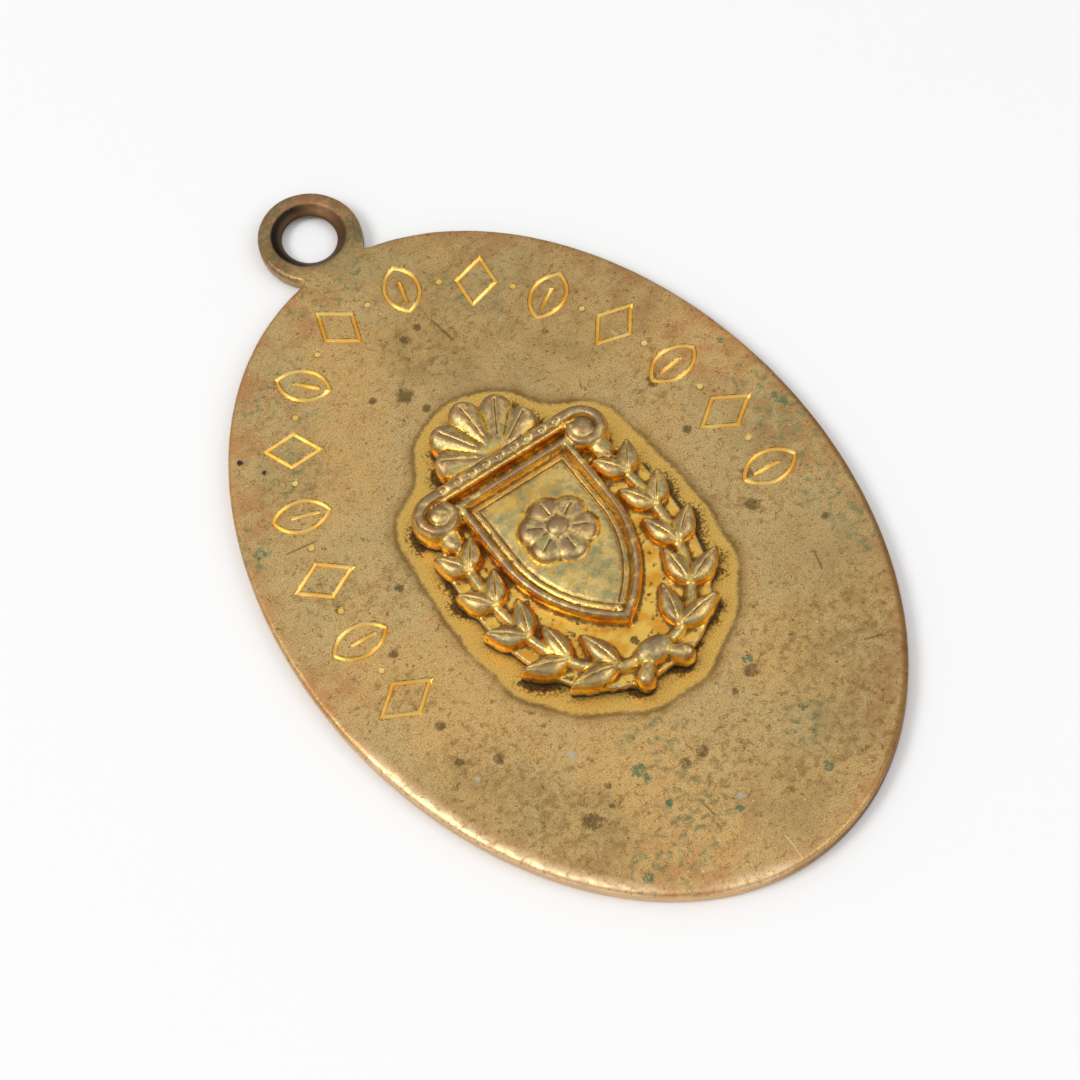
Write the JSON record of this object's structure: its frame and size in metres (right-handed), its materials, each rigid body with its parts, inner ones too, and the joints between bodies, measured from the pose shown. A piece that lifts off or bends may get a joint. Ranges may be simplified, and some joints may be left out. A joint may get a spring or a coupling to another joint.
{
  "type": "oval brass office badge",
  "caption": "Flat oval brass badge of office with a countersunk hanging eye, an engraved border of lozenges and leaves, and a soldered struck relief of a shield in laurel.",
  "frame": {"origin": "middle of the oval on the flat back of the plate, not counting the hanging eye", "axes": "+Z out of the front face, +Y towards the hanging eye, +X to the right as one looks at the front"},
  "size_m": [0.0464, 0.0767, 0.0044],
  "materials": {
    "tarnished_brass": "old rolled brass, dulled to olive brown with verdigris specks",
    "gilt_relief": "struck and gilt brass, worn pale on the high places"
  },
  "bodies": {
    "root": {"badge": "tarnished_brass"}
  },
  "joints": []
}
